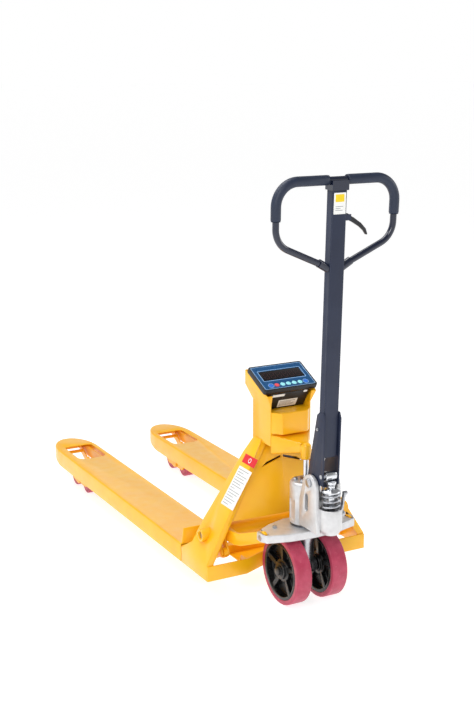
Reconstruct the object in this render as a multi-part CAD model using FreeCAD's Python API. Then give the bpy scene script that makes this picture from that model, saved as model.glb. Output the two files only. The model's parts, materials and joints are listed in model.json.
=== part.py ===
import FreeCAD, Part
import math
import os

V = FreeCAD.Vector

# Pallet truck with weighing forks.  Millimetres.  While it is modelled the steering axis
# stands at x = 0, y = 0, the floor is z = 0, +Y points to the fork tips and +X to the
# operator's right.  The finished set is moved so that the origin is the middle of the
# whole truck's footprint, on the floor.

# ---------------------------------------------------------------- driving dimensions
RAISED = 40.0              # height of the forks above their lowest position, as modelled
WIDTH = 540.0              # over both forks
FORK_WIDTH = 152.0
PLATFORM_LENGTH = 1150.0
PLATFORM_Y = 264.0         # heel of the weighing platforms
FORK_TOP = 125.0
SKIRT = 57.0               # depth of a platform's side skirt
SHEET = 3.0                # platform sheet

STEER_RADIUS = 100.0
STEER_WIDTH = 50.0
STEER_TRACK = 119.0        # between the middles of the two steer wheels
TREAD = 14.0               # polyurethane thickness on the steer wheels
AXLE_RADIUS = 10.0
RUN = 0.05                 # radial clearance of every running fit
GAP = 0.5                  # clearance between bodies that pass each other

LOAD_RADIUS = 37.0
LOAD_WIDTH = 60.0
BOGIE_Y = 1190.0           # middle of the two load rollers
BOGIE_SPACING = 104.0      # between the two load rollers of a fork
FRAME_PIVOT_Y = 1366.0     # roller frame's hinge near the fork tip
FRAME_PIVOT_DROP = 22.0    # hinge below the platform top

SHAFT_Y = 172.0            # rocker shaft
SHAFT_Z = 180.0
SHAFT_RADIUS = 12.5
ARM_PIN_Y = -10.0          # where the rocker holds the thrust plate
ARM_PIN_Z = 218.0
ARM_THICK = 11.0           # rocker arm where it enters the thrust plate
ARM_X = 141.5              # middle of that arm
ROD_PIN_BACK = 40.0        # push rod pin from the rocker shaft
ROD_PIN_DROP = 50.0
FRAME_PIN_BACK = 69.0      # push rod pin from the roller frame's hinge
FRAME_PIN_DROP = 38.0
ROD_Z = 67.0               # push rod's straight run

PLATE = 6.0                # chassis plate
BUMPER_Y = 90.0
BUMPER_HEIGHT = 46.0
LEAN_Z = 117.0             # side plates lean inwards above this height
COLUMN_HALF = 67.0
COLUMN_FRONT = 86.0
COLUMN_DEPTH = 104.0
COLUMN_BASE = 446.0
SHELF_Z = 547.0            # top of the battery compartment
FLARE_LOW = 564.0          # the column widens between these heights
FLARE_TOP = 610.0

THRUST_TOP = 230.0
THRUST_THICK = 23.0
THRUST_HALF = 156.0
KINGPIN_RADIUS = 27.0
PISTON_RADIUS = 8.0
CYLINDER_RADIUS = 45.0
CYLINDER_TOP = 356.0
BEARING_HEIGHT = 8.0
BOSS_BOTTOM = 424.0        # crosshead boss above the pump
BOSS_RADIUS = 15.0
BOSS_HEIGHT = 48.0
ROD_LENGTH = 222.0         # piston rod below the boss

PIVOT_Y = -84.0            # tiller hinge
PIVOT_Z = 385.0
PIVOT_RADIUS = 9.0
TILLER_LEAN = 1.9          # degrees towards the operator
TUBE_WIDTH = 45.0
TUBE_DEPTH = 30.0
TUBE_WALL = 3.0
TUBE_BOTTOM = 466.0
TUBE_TOP = 1212.0
TUBE_AHEAD = 24.5          # tube centre in front of the hinge, at the hinge's height
CHEEK = 5.0
EAR_THICK = 12.0           # ears of the pump outside the tiller's cheeks
LOOP_HALF = 184.0          # handle loop, half width between tube centres
LOOP_TOP = 1225.0
LOOP_LOW = 996.0
LOOP_SIDE_LOW = 1066.0
LOOP_RADIUS = 9.0
GRIP_RADIUS = 13.5
GRIP_END = 1126.0

PLUNGER_Y = -134.0
PLUNGER_TOP = 398.0
CUP_RADIUS = 31.0
BOSS_TOP = 320.0           # rim of the plunger cup on the pump
GUIDE_TOP = 306.0          # bush inside the cup that guides the plunger
BOSS_LOW = 262.0
PLUNGER_RADIUS = 10.0
PLUNGER_STROKE = 58.0
SPRING_RADIUS = 24.0
SPRING_WIRE = 3.0
PRESS_RADIUS = 13.0

INDICATOR_WIDTH = 177.0
INDICATOR_LENGTH = 112.0
INDICATOR_DEPTH = 26.0
INDICATOR_TILT = 24.7
INDICATOR_Y = 132.0
INDICATOR_Z = 638.5
KEY_COUNT = 7
KEY_PITCH = 19.2
KEY_RADIUS = 7.4
KEY_ROW = -36.0
WINDOW_LENGTH = 136.0
WINDOW_HEIGHT = 42.0
WINDOW_ROW = 8.0

# ---------------------------------------------------------------- derived places
SIDE_X = WIDTH / 2
FORK_X = SIDE_X - FORK_WIDTH / 2
SKIRT_BOTTOM = FORK_TOP - SKIRT
TIP_Y = PLATFORM_Y + PLATFORM_LENGTH
NOSE_LENGTH = 132.0
NOSE_RISE = 24.0           # the skirt's lower edge climbs this much at the nose
LEAN = (SIDE_X - COLUMN_HALF) / (COLUMN_BASE + 10 - LEAN_Z)
COLUMN_BACK = COLUMN_FRONT + COLUMN_DEPTH
WHEEL_X = STEER_TRACK / 2
THRUST_BOTTOM = THRUST_TOP - THRUST_THICK
PUMP_BASE = THRUST_TOP + BEARING_HEIGHT
FRAME_PIVOT_Z = FORK_TOP - FRAME_PIVOT_DROP
BEAM_HALF = 60.0
BEAM_WALL = 5.0
BEAM_TOP = 102.0
FRAME_INNER = LOAD_WIDTH / 2 + 6.5
FRAME_OUTER = FRAME_INNER + 5.0
BAR_INNER = FRAME_OUTER + 1.0
BAR_OUTER = BAR_INNER + 4.0
RAIL_INNER = BAR_OUTER + 2.5
RAIL_OUTER = RAIL_INNER + 3.0
ROD_PIN = (SHAFT_Y - ROD_PIN_BACK, SHAFT_Z - ROD_PIN_DROP)
FRAME_PIN = (FRAME_PIVOT_Y - FRAME_PIN_BACK, FRAME_PIVOT_Z - FRAME_PIN_DROP)


# ---------------------------------------------------------------- shape helpers
def box(x0, x1, y0, y1, z0, z1):
    return Part.makeBox(x1 - x0, y1 - y0, z1 - z0, V(x0, y0, z0))


def pin_x(radius, x0, x1, y, z):
    """Round bar along X."""
    return Part.makeCylinder(radius, x1 - x0, V(x0, y, z), V(1, 0, 0))


def post(radius, z0, z1, x=0.0, y=0.0):
    """Round bar along Z."""
    return Part.makeCylinder(radius, z1 - z0, V(x, y, z0))


def cone(r0, r1, z0, z1, x=0.0, y=0.0):
    return Part.makeCone(r0, r1, z1 - z0, V(x, y, z0))


def plate(points, push):
    """Flat polygon through 3-D points, thickened by a push vector."""
    ring = [V(*p) for p in points]
    return Part.Face(Part.makePolygon(ring + ring[:1])).extrude(V(*push))


def side_cut(points, x0, x1):
    """Outline given as (y, z), extruded along X."""
    return plate([(x0, y, z) for y, z in points], (x1 - x0, 0, 0))


def plan_cut(points, z0, z1):
    """Outline given as (x, y), extruded along Z."""
    return plate([(x, y, z0) for x, y in points], (0, 0, z1 - z0))


def front_cut(points, y0, y1):
    """Outline given as (x, z), extruded along Y."""
    return plate([(x, y0, z) for x, z in points], (0, y1 - y0, 0))


def joined(*shapes):
    first, rest = shapes[0], list(shapes[1:])
    return first.fuse(rest).removeSplitter() if rest else first


def mirrored(shape):
    return shape.mirror(V(0, 0, 0), V(1, 0, 0))


def strap(a, b, radius_a, radius_b, x0, x1):
    """Link plate round two (y, z) centres, with straight tangent sides."""
    (ya, za), (yb, zb) = a, b
    span = math.hypot(yb - ya, zb - za)
    along = math.atan2(zb - za, yb - ya)
    tilt = math.acos((radius_a - radius_b) / span)
    corners = []
    for side in (1, -1):
        ray = along + side * tilt
        near = (ya + radius_a * math.cos(ray), za + radius_a * math.sin(ray))
        far = (yb + radius_b * math.cos(ray), zb + radius_b * math.sin(ray))
        corners += [near, far] if side > 0 else [far, near]
    body = side_cut(corners, x0, x1)
    return joined(body, pin_x(radius_a, x0, x1, ya, za), pin_x(radius_b, x0, x1, yb, zb))


def bar_path(points, half, x0, x1):
    """Flat bar of even depth along (y, z) points."""
    pieces = []
    for a, b in zip(points, points[1:]):
        pieces.append(strap(a, b, half, half, x0, x1))
    return joined(*pieces)


def swept(points, bend, radius):
    """Round bar along straight runs with arcs of one bend radius between them."""
    edges = []
    start = V(*points[0])
    for i in range(1, len(points) - 1):
        corner = V(*points[i])
        back = (V(*points[i - 1]) - corner).normalize()
        ahead = (V(*points[i + 1]) - corner).normalize()
        half_turn = (math.pi - back.getAngle(ahead)) / 2
        reach = bend * math.tan(half_turn)
        enter = corner + back * reach
        leave = corner + ahead * reach
        middle = (back + ahead).normalize()
        top = corner + middle * (bend / math.cos(half_turn) - bend)
        edges.append(Part.LineSegment(start, enter).toShape())
        edges.append(Part.Arc(enter, top, leave).toShape())
        start = leave
    edges.append(Part.LineSegment(start, V(*points[-1])).toShape())
    heading = (V(*points[1]) - V(*points[0])).normalize()
    ring = Part.Wire(Part.Circle(V(*points[0]), heading, radius).toShape())
    return Part.Wire(edges).makePipeShell([ring], True, False)


def ring_x(outer, inner, x0, x1, y, z):
    return pin_x(outer, x0, x1, y, z).cut(pin_x(inner, x0 - 1, x1 + 1, y, z))


def plate_x(z):
    """Outer face of the left side plate at a height, as a positive distance."""
    return SIDE_X - LEAN * max(0.0, z - LEAN_Z)


def fillet_where(shape, radius, test):
    """Rounds the edges whose middle passes the test."""
    edges = [e for e in shape.Edges if test(e.CenterOfMass, e)]
    return shape.makeFillet(radius, edges) if edges else shape


# ---------------------------------------------------------------- weighing forks
def nose_outline(inset, z, heel=PLATFORM_Y):
    """Fork plan as a face: straight sides and a half ellipse for the nose."""
    half = FORK_WIDTH / 2 - inset
    middle = TIP_Y - NOSE_LENGTH
    left, right = -FORK_X - half, -FORK_X + half
    ellipse = Part.Ellipse(V(-FORK_X, TIP_Y - inset, z), V(left, middle, z), V(-FORK_X, middle, z))
    nose = Part.ArcOfEllipse(ellipse, -math.pi / 2, math.pi / 2).toShape()
    sides = [
        Part.LineSegment(V(left, middle, z), V(left, heel, z)).toShape(),
        Part.LineSegment(V(left, heel, z), V(right, heel, z)).toShape(),
        Part.LineSegment(V(right, heel, z), V(right, middle, z)).toShape(),
    ]
    return Part.Face(Part.Wire(sides + [nose]))


def nose_window(grow=0.0):
    """Opening in the platform above the load rollers."""
    half = 52.0 + grow
    low, high = BOGIE_Y - 44 - grow, BOGIE_Y + 117 + grow
    block = box(-FORK_X - half + 6, -FORK_X + half + 6, low, high, FORK_TOP - 30, FORK_TOP + 10)
    heel_edges = [e for e in block.Edges if is_upright(e) and e.CenterOfMass.y < BOGIE_Y]
    block = block.makeFillet(26.0, heel_edges)
    tip_edges = [e for e in block.Edges if is_upright(e) and e.CenterOfMass.y > BOGIE_Y + 50]
    return block.makeFillet(14.0, tip_edges)


def is_upright(edge):
    a, b = edge.Vertexes[0].Point, edge.Vertexes[-1].Point
    return abs(a.x - b.x) < 1e-6 and abs(a.y - b.y) < 1e-6 and abs(a.z - b.z) > 1


def weigh_platform():
    """Left platform: top sheet, side skirts, rounded nose and the upstand at the heel."""
    up = V(0, 0, SKIRT)
    outer = nose_outline(0, SKIRT_BOTTOM).extrude(up)
    top_edges = [e for e in outer.Edges
                 if e.BoundBox.ZMin > FORK_TOP - 0.1 and e.BoundBox.YMax > PLATFORM_Y + 1]
    outer = outer.makeFillet(6.0, top_edges)
    inner = nose_outline(SHEET, SKIRT_BOTTOM - 5, PLATFORM_Y - 1).extrude(V(0, 0, SKIRT + 5 - SHEET))
    rise = [(TIP_Y - NOSE_LENGTH - 16, SKIRT_BOTTOM - 1), (TIP_Y + 1, SKIRT_BOTTOM - 1)]
    rise += [(TIP_Y + 1, SKIRT_BOTTOM + NOSE_RISE)]
    wedge = side_cut(rise, -SIDE_X - 1, -FORK_X + FORK_WIDTH)
    shell = outer.cut([inner, wedge, nose_window()])
    left, right = -SIDE_X + SHEET, -SIDE_X + FORK_WIDTH
    heel = [(left, FORK_TOP - 10), (left + 8, FORK_TOP + 46), (right - 4, FORK_TOP + 46)]
    heel += [(right - SHEET, FORK_TOP - 10)]
    return joined(shell, front_cut(heel, PLATFORM_Y, PLATFORM_Y + 5))


def fork_frame():
    """Both inner fork beams, plate by plate, and the tube that ties their heels, one weldment."""
    rear, cut_y = PLATFORM_Y - 20, BOGIE_Y - 150
    far = FRAME_PIVOT_Y + 6
    low = SKIRT_BOTTOM + 3
    roof = box(-FORK_X - BEAM_HALF, -FORK_X + BEAM_HALF, rear, cut_y, BEAM_TOP - BEAM_WALL, BEAM_TOP)
    heel = box(-SIDE_X + PLATE, -FORK_X - BEAM_HALF, rear - 40, PLATFORM_Y - 6, low + 2, BEAM_TOP)
    pin = pin_x(7.0, -FORK_X - RAIL_INNER, -FORK_X + RAIL_INNER, FRAME_PIVOT_Y, FRAME_PIVOT_Z)
    left = [roof, heel, pin]
    for side in (-1, 1):
        near, wide = sorted((-FORK_X + side * RAIL_INNER, -FORK_X + side * RAIL_OUTER))
        rail = box(near, wide, cut_y - 60, far, low + 6, BEAM_TOP + 12)
        near, wide = sorted((-FORK_X + side * RAIL_INNER, -FORK_X + side * BEAM_HALF))
        doubler = box(near, wide, cut_y - 60, cut_y, low + 6, BEAM_TOP)
        near, wide = sorted((-FORK_X + side * (BEAM_HALF - BEAM_WALL), -FORK_X + side * BEAM_HALF))
        web = box(near, wide, rear, cut_y, low, BEAM_TOP)
        left.append(joined(web, doubler, rail).cut(roof))
    tie_x, tie_y, wall = FORK_X - BEAM_HALF, rear - 12, 3.0
    tie = box(-tie_x, tie_x, tie_y, tie_y + 26, low + 2, low + 30)
    core = box(-FORK_X, FORK_X, tie_y + wall, tie_y + 26 - wall, low + 2 + wall, low + 30 - wall)
    floor = box(-tie_x + 10, tie_x - 10, tie_y - 72, tie_y + 3, low + 2, low + 5)
    right = [mirrored(piece) for piece in left]
    return Part.makeCompound(left + right + [joined(tie.cut(core), floor)])


def load_cells():
    """Four bending-beam cells between the inner beams and the platforms."""
    cells = []
    height = FORK_TOP - SHEET - BEAM_TOP
    for x in (-FORK_X, FORK_X):
        for y, turn in ((PLATFORM_Y + 72, 1), (BOGIE_Y - 220, -1)):
            body = box(x - 16, x + 16, y - 62, y + 62, BEAM_TOP + 2, FORK_TOP - SHEET - 2)
            body = body.cut([post(9.0, BEAM_TOP, FORK_TOP, x, y - 10),
                             post(9.0, BEAM_TOP, FORK_TOP, x, y + 10)])
            foot_y, head_y = y - turn * 46, y + turn * 46
            foot = box(x - 16, x + 16, foot_y - 16, foot_y + 16, BEAM_TOP, BEAM_TOP + 3)
            head = box(x - 16, x + 16, head_y - 16, head_y + 16, BEAM_TOP + height - 3, BEAM_TOP + height)
            cells.append(joined(body, foot, head))
    return Part.makeCompound(cells)


# ---------------------------------------------------------------- chassis
def side_plate():
    """Left plate: upright beside the fork, leaning in above, with a folded front flange."""
    heel = PLATFORM_Y - 4
    outline_low = [(BUMPER_Y + 5, SKIRT_BOTTOM), (BUMPER_Y + 5, LEAN_Z), (heel, LEAN_Z),
                   (heel, SKIRT_BOTTOM)]
    upright = side_cut(outline_low, -SIDE_X, -SIDE_X + PLATE)
    top = COLUMN_BASE + 8
    outline = [(BUMPER_Y + 5, LEAN_Z), (BUMPER_Y + 46, top), (COLUMN_BACK - 10, top)]
    outline += [(COLUMN_BACK + 4, LEAN_Z + 290), (SHAFT_Y + 34, LEAN_Z + 200),
                (SHAFT_Y + 50, LEAN_Z + 95)]
    outline += [(SHAFT_Y + 50, LEAN_Z + 28), (heel, LEAN_Z)]
    thick = PLATE * math.hypot(1, LEAN)
    leaning = plate([(-plate_x(z), y, z) for y, z in outline], (thick, 0, 0))
    inner = [(-plate_x(z) + 1, y, z) for y, z in ((BUMPER_Y + 5, LEAN_Z), (BUMPER_Y + 46, top))]
    flange_ring = inner + [(x + 22, y, z) for x, y, z in reversed(inner)]
    flange = plate(flange_ring, (0, 6, 0))
    low = [(-SIDE_X, SKIRT_BOTTOM), (-SIDE_X, LEAN_Z), (-SIDE_X + 23, LEAN_Z),
           (-SIDE_X + 23, SKIRT_BOTTOM)]
    foot = front_cut(low, BUMPER_Y + 5, BUMPER_Y + 11)
    plate_body = joined(upright, leaning, flange, foot)
    bore = pin_x(SHAFT_RADIUS + 6.5, -SIDE_X, 0, SHAFT_Y, SHAFT_Z)
    column_seat = box(-COLUMN_HALF, COLUMN_HALF, COLUMN_FRONT, COLUMN_BACK, COLUMN_BASE, COLUMN_BASE + 40)
    return plate_body.cut([bore, column_seat])


def shaft_bosses():
    """Tubes welded through the side plates that hold the rocker shaft."""
    outer = plate_x(SHAFT_Z) + 20
    left = ring_x(SHAFT_RADIUS + 6.5, SHAFT_RADIUS, -outer, -plate_x(SHAFT_Z) + 22, SHAFT_Y, SHAFT_Z)
    return Part.makeCompound([left, mirrored(left)])


def rocker_shaft():
    reach = plate_x(SHAFT_Z) + 14
    return pin_x(SHAFT_RADIUS, -reach, reach, SHAFT_Y, SHAFT_Z)


def front_panel():
    """Sloping cross sheet behind the side plates' flanges, with a ridge and two slits."""
    low_z, high_z = THRUST_TOP - 3, COLUMN_BASE - 6
    low_y, high_y, ridge = BUMPER_Y + 26, BUMPER_Y + 57, 7.0
    corners = [(-plate_x(low_z) + PLATE * 1.25, low_y, low_z), (0, low_y - ridge, low_z)]
    corners += [(0, high_y - ridge, high_z), (-plate_x(high_z) + PLATE * 1.25, high_y, high_z)]
    left = sheet_between(corners, 5.0)
    slit = [(-70, 370), (-4, 391), (-4, 398), (-52, 383)]
    left = left.cut(front_cut(slit, low_y - 10, high_y + 10))
    return joined(left, mirrored(left))


def sheet_between(corners, thick):
    """Closed skin through four 3-D corners (they need not be in one plane), thickened along Y."""
    near = [V(*p) for p in corners]
    far = [p + V(0, thick, 0) for p in near]
    faces = []
    for ring in (near, far):
        faces.append(Part.Face(Part.makePolygon([ring[0], ring[1], ring[2], ring[0]])))
        faces.append(Part.Face(Part.makePolygon([ring[0], ring[2], ring[3], ring[0]])))
    for i in range(4):
        j = (i + 1) % 4
        rim = [near[i], near[j], far[j], far[i], near[i]]
        faces.append(Part.Face(Part.makePolygon(rim)))
    solid = Part.Solid(Part.Shell(faces))
    solid.fixTolerance(1e-4)
    return solid if solid.Volume > 0 else solid.reversed()


def bumper_strip():
    """Low plate across the front, bent back round the steer wheels' sweep."""
    half_flat, back_y, back_half = 139.0, BUMPER_Y + 52, 18.0
    front = [(-SIDE_X, BUMPER_Y), (-half_flat, BUMPER_Y), (-back_half, back_y)]
    front += [(-x, y) for x, y in reversed(front)]
    rear = [(x, y + 5) for x, y in reversed(front)]
    strip = plan_cut(front + rear, SKIRT_BOTTOM, SKIRT_BOTTOM + BUMPER_HEIGHT)
    gusset = plan_cut([(-SIDE_X + 24, BUMPER_Y + 5), (-half_flat, BUMPER_Y + 5),
                       (-half_flat, BUMPER_Y + 60)],
                      SKIRT_BOTTOM, SKIRT_BOTTOM + 4)
    tab = plan_cut([(-half_flat - 22, BUMPER_Y + 5), (-half_flat, BUMPER_Y + 5),
                    (-half_flat, BUMPER_Y + 40)],
                   SKIRT_BOTTOM + BUMPER_HEIGHT - 4, SKIRT_BOTTOM + BUMPER_HEIGHT)
    return joined(strip, gusset, tab, mirrored(gusset), mirrored(tab))


def crosshead():
    """Arm from the column to the boss that the piston lifts."""
    y0, y1 = 4.0, COLUMN_FRONT
    low_near, low_far, top = BOSS_BOTTOM, BOSS_BOTTOM + 18, BOSS_BOTTOM + BOSS_HEIGHT
    wide, slim = COLUMN_HALF - 1, BOSS_RADIUS - 5
    plan = plan_cut([(-wide, y1), (-slim, y0), (slim, y0), (wide, y1)], low_near - 5, top + 20)
    side = side_cut([(y1, low_near), (y0, low_far), (y0, top - 4), (y1, top + 8)], -wide, wide)
    hollow = plan_cut([(6 - wide, y1 - 5), (3 - slim, y0 + 18), (slim - 3, y0 + 18), (wide - 6, y1 - 5)],
                      low_near - 6, top - 10)
    boss = joined(cone(BOSS_RADIUS - 3, BOSS_RADIUS, BOSS_BOTTOM, BOSS_BOTTOM + 8),
                  post(BOSS_RADIUS, BOSS_BOTTOM + 8, top - 7),
                  cone(BOSS_RADIUS, BOSS_RADIUS - 8, top - 7, top))
    return joined(plan.common(side).cut(hollow),
                  boss).cut(post(PISTON_RADIUS, BOSS_BOTTOM - 1, BOSS_BOTTOM + 22))


def piston_rod():
    return post(PISTON_RADIUS, BOSS_BOTTOM - ROD_LENGTH, BOSS_BOTTOM + 22)


def rounded_post(half_x, y0, y1, z0, z1, corner):
    block = box(-half_x, half_x, y0, y1, z0, z1)
    return fillet_where(block, corner, lambda c, e: is_upright(e))


def column():
    """Bent-sheet column: straight box below, flared head that carries the indicator."""
    head_z = FLARE_TOP
    head_half = INDICATOR_WIDTH / 2 - 1
    head_front, head_back = COLUMN_FRONT - 10, COLUMN_BACK + 10
    post_part = box(-COLUMN_HALF, COLUMN_HALF, COLUMN_FRONT, COLUMN_BACK, COLUMN_BASE, FLARE_LOW)
    flare = ruled(rectangle(COLUMN_HALF, COLUMN_FRONT, COLUMN_BACK, FLARE_LOW),
                  rectangle(head_half, head_front, head_back, head_z))
    head = box(-head_half, head_half, head_front, head_back, head_z, INDICATOR_Z + 60)
    solid = joined(post_part, flare, head)
    keep = tilted(box(-200, 200, -200, 200, -400, -INDICATOR_DEPTH * 0.62))
    solid = solid.common(keep)
    inner_post = box(-COLUMN_HALF + SHEET, COLUMN_HALF - SHEET, COLUMN_FRONT + SHEET, COLUMN_BACK - SHEET,
                     COLUMN_BASE - 1, FLARE_LOW)
    inner_flare = ruled(rectangle(COLUMN_HALF - SHEET, COLUMN_FRONT + SHEET, COLUMN_BACK - SHEET,
                                  FLARE_LOW),
                        rectangle(head_half - SHEET, head_front + SHEET, head_back - SHEET, head_z))
    inner_head = box(-head_half + SHEET, head_half - SHEET, head_front + SHEET, head_back - SHEET,
                     head_z, INDICATOR_Z + 90)
    mouth = box(-COLUMN_HALF + SHEET, COLUMN_HALF - SHEET, COLUMN_FRONT - 20, COLUMN_FRONT + 20,
                SHELF_Z, INDICATOR_Z + 90)
    bay = box(-COLUMN_HALF + 8, COLUMN_HALF - 8, COLUMN_FRONT - 5, COLUMN_FRONT + 5,
              SHELF_Z - 57, SHELF_Z - 8)
    shell = solid.cut([inner_post, inner_flare, inner_head, mouth, bay])
    inside = COLUMN_HALF - SHEET
    shelf = box(-inside, inside, COLUMN_FRONT, COLUMN_FRONT + 34, SHELF_Z - SHEET, SHELF_Z)
    return joined(shell, shelf)


def rectangle(half_x, y0, y1, z):
    ring = [V(-half_x, y0, z), V(half_x, y0, z), V(half_x, y1, z), V(-half_x, y1, z)]
    return Part.makePolygon(ring + ring[:1])


def ruled(lower, upper):
    return Part.makeLoft([lower, upper], True, True)


def battery_cover():
    """Bulged lid of the battery compartment, with tapering sides."""
    front_y, low, high = COLUMN_FRONT - 26, SHELF_Z - 63, SHELF_Z
    edge_x, face_x, wall = COLUMN_HALF - 2, 42.0, 3.0
    plan = [(-edge_x, COLUMN_FRONT), (-face_x, front_y), (face_x, front_y), (edge_x, COLUMN_FRONT)]
    lid = fillet_where(plan_cut(plan, low, high), 7.0, lambda c, e: is_upright(e) and c.y < front_y + 1)
    core = [(-edge_x + 7, COLUMN_FRONT + 1), (-face_x + 2, front_y + wall), (face_x - 2, front_y + wall)]
    core += [(edge_x - 7, COLUMN_FRONT + 1)]
    return lid.cut(plan_cut(core, low + wall, high - wall))


def battery():
    return rounded_post(36.0, COLUMN_FRONT + SHEET + 8, COLUMN_FRONT + 62, SHELF_Z - 60, SHELF_Z - 10,
                        4.0)


def tilted(shape):
    """Places a shape drawn flat round the origin onto the indicator's sloping face."""
    shape = shape.copy()
    shape.rotate(V(0, 0, 0), V(1, 0, 0), INDICATOR_TILT)
    shape.translate(V(0, INDICATOR_Y, INDICATOR_Z))
    return shape


def indicator_panel():
    """Black sheet under the indicator, leaning back into the column."""
    half = COLUMN_HALF - SHEET - 1
    top_y, top_z = COLUMN_FRONT + 3, SHELF_Z + 53
    low_y, low_z = COLUMN_FRONT + 33, SHELF_Z
    ring = [(-half, low_y, low_z), (half, low_y, low_z), (half, top_y, top_z), (-half, top_y, top_z)]
    return plate(ring, (0, 2.5, 0))


def slab(half_u, half_v, low, high, corner, v=0.0):
    block = box(-half_u, half_u, v - half_v, v + half_v, low, high)
    return fillet_where(block, corner, lambda c, e: is_upright(e))


def indicator_housing():
    """Open-topped black case with a raised rim."""
    u, v = INDICATOR_WIDTH / 2, INDICATOR_LENGTH / 2
    case = slab(u, v, -INDICATOR_DEPTH * 0.6, 0, 7.0)
    case = case.cut([slab(u - 5, v - 5, -2.0, 1, 4.0),
                     slab(u - 9, v - 9, -INDICATOR_DEPTH * 0.6 + 2.5, 1, 3.0)])
    return tilted(case)


def window_slab(low, high, shrink=0.0):
    half_u, half_v = WINDOW_LENGTH / 2 - shrink, WINDOW_HEIGHT / 2 - shrink
    return slab(half_u, half_v, low, high, 1.5, WINDOW_ROW)


def key_places():
    return [(i - (KEY_COUNT - 1) / 2) * KEY_PITCH for i in range(KEY_COUNT)]


def keypad_overlay():
    """Front membrane with a window cut-out and a hole round each key."""
    u, v = INDICATOR_WIDTH / 2 - 5.3, INDICATOR_LENGTH / 2 - 5.3
    holes = [post(KEY_RADIUS + 0.4, -5, 5, x, KEY_ROW) for x in key_places()]
    return tilted(slab(u, v, -2.0, -0.6, 3.7).cut(holes + [window_slab(-5, 5)]))


def display_window():
    return tilted(window_slab(-2.0, -1.0, 0.3))


def circuit_board():
    """Printed board with the row of display digits standing on it."""
    board = slab(INDICATOR_WIDTH / 2 - 12, INDICATOR_LENGTH / 2 - 12, -12.0, -10.4, 2.0)
    digits = slab(WINDOW_LENGTH / 2 - 6, WINDOW_HEIGHT / 2 - 6, -10.4, -2.6, 1.0, WINDOW_ROW)
    return tilted(joined(board, digits))


def key(x):
    return tilted(post(KEY_RADIUS, -3.2, -0.1, x, KEY_ROW))


# ---------------------------------------------------------------- lift body
def thrust_plate():
    """Casting under the pump; the rocker's arms enter it from behind near its two ends."""
    half = THRUST_HALF
    front = [(-half, -16), (-half + 10, -36), (-80, -56), (0, -63), (80, -56), (half - 10, -36),
             (half, -16)]
    rear = [(half, 6), (half - 16, 18), (96, 44), (40, 62), (-40, 62), (-96, 44), (16 - half, 18),
            (-half, 6)]
    body = plan_cut(front + rear, THRUST_BOTTOM, THRUST_TOP)
    body = fillet_where(body, 3.0, lambda c, e: c.z > THRUST_TOP - 0.1)
    kingpin_bore = post(KINGPIN_RADIUS + RUN, THRUST_BOTTOM - 1, THRUST_TOP + 1)
    slot_half = ARM_THICK / 2 + GAP + 0.2
    slot = box(-ARM_X - slot_half, -ARM_X + slot_half, ARM_PIN_Y - 18.5, 80, THRUST_BOTTOM - 1,
               THRUST_TOP + 1)
    pin = pin_x(8.0, -THRUST_HALF, -THRUST_HALF + 34, ARM_PIN_Y, ARM_PIN_Z)
    return body.cut([kingpin_bore, slot, mirrored(slot), pin, mirrored(pin)])


def thrust_pins():
    """Cross pins that the rocker's arms hold."""
    left = pin_x(8.0, -THRUST_HALF, -THRUST_HALF + 34, ARM_PIN_Y, ARM_PIN_Z)
    return Part.makeCompound([left, mirrored(left)])


def thrust_bearing():
    """Ball thrust bearing between the plate and the pump: two washers and a ball ring."""
    low = post(43.0, THRUST_TOP,
               THRUST_TOP + 2.5).cut(post(KINGPIN_RADIUS + 2, THRUST_TOP - 1, THRUST_TOP + 4))
    balls = []
    for i in range(16):
        angle = 2 * math.pi * i / 16
        centre = V(36 * math.cos(angle), 36 * math.sin(angle), THRUST_TOP + BEARING_HEIGHT / 2 - 0.2)
        balls.append(Part.makeSphere(2.4, centre))
    cage = post(41.0, THRUST_TOP + 3.2, THRUST_TOP + 4.4).cut(post(31.0, THRUST_TOP + 3, THRUST_TOP + 5))
    return joined(low, cage, *balls)


# ---------------------------------------------------------------- steer body
def pump_body():
    """Pump casting: lift cylinder, web, plunger cup and the two ears of the tiller hinge."""
    cylinder = post(CYLINDER_RADIUS, PUMP_BASE, CYLINDER_TOP)
    crown = cone(CYLINDER_RADIUS, CYLINDER_RADIUS - 6, CYLINDER_TOP, CYLINDER_TOP + 6)
    cup = post(CUP_RADIUS + 1, BOSS_LOW, BOSS_TOP, 0, PLUNGER_Y)
    foot_low = PUMP_BASE + 7
    cup_foot = cone(CUP_RADIUS - 9, CUP_RADIUS + 1, foot_low, BOSS_LOW, 0, PLUNGER_Y)
    guide = post(PLUNGER_RADIUS + 4, BOSS_LOW, GUIDE_TOP, 0, PLUNGER_Y)
    lug = pin_x(10.0, 12, CUP_RADIUS + 3, PLUNGER_Y, BOSS_TOP - 22)
    web = plan_cut([(-30, 0), (-26, PLUNGER_Y + 6), (26, PLUNGER_Y + 6), (30, 0)], foot_low,
                   BOSS_TOP - 12)
    body = joined(cylinder, crown, cup, cup_foot, web, lug)
    recess = post(CUP_RADIUS - 2, BOSS_LOW + 8, BOSS_TOP + 1, 0, PLUNGER_Y)
    ear = pump_ear()
    body = joined(body.cut(recess), guide, ear, mirrored(ear))
    face = box(-CYLINDER_RADIUS - 1, -CYLINDER_RADIUS + 5, -12, 16, PUMP_BASE + 12, CYLINDER_TOP - 46)
    bottom = PLUNGER_TOP - 89 - PLUNGER_STROKE
    cuts = [face, post(PISTON_RADIUS + RUN, PUMP_BASE - 1, CYLINDER_TOP + 20)]
    cuts.append(post(PLUNGER_RADIUS + RUN, bottom, BOSS_TOP + 20, 0, PLUNGER_Y))
    cuts.append(pin_x(PIVOT_RADIUS, -80, 80, PIVOT_Y, PIVOT_Z))
    return body.cut(cuts)


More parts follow.
